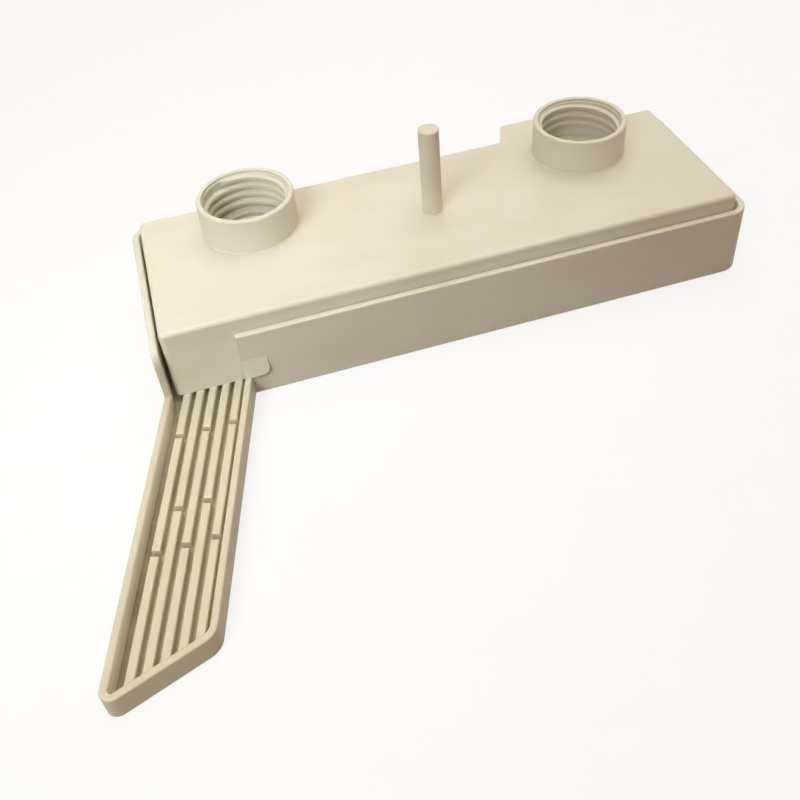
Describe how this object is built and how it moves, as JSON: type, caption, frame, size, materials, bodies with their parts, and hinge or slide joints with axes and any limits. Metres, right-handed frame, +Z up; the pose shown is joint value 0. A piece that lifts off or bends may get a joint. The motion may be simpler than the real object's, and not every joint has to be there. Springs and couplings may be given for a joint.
{
  "type": "bottle bee waterer",
  "caption": "Cream moulded bee waterer: a rectangular tray with a slanted ribbed drinking trough, and a loose bell lid with threaded bottle sockets and a lifting peg.",
  "frame": {"origin": "middle of the underside of the tray's box", "axes": "+X along the box, +Y away from the hive, so that the trough leaves towards -Y, +Z up"},
  "size_m": [0.2234, 0.1678, 0.0598],
  "materials": {
    "ivory_polypropylene": "satin, as moulded",
    "washer_rubber": "matt"
  },
  "bodies": {
    "tray": {"tray": "ivory_polypropylene"},
    "lid": {"lid": "ivory_polypropylene", "lift_peg": "ivory_polypropylene", "left_washer": "washer_rubber", "right_washer": "washer_rubber"}
  },
  "joints": [
    {"name": "lid_lift", "type": "slide", "parent": "tray", "child": "lid", "axis": [0, 0, 1], "range_m": [0, 0.04]}
  ]
}
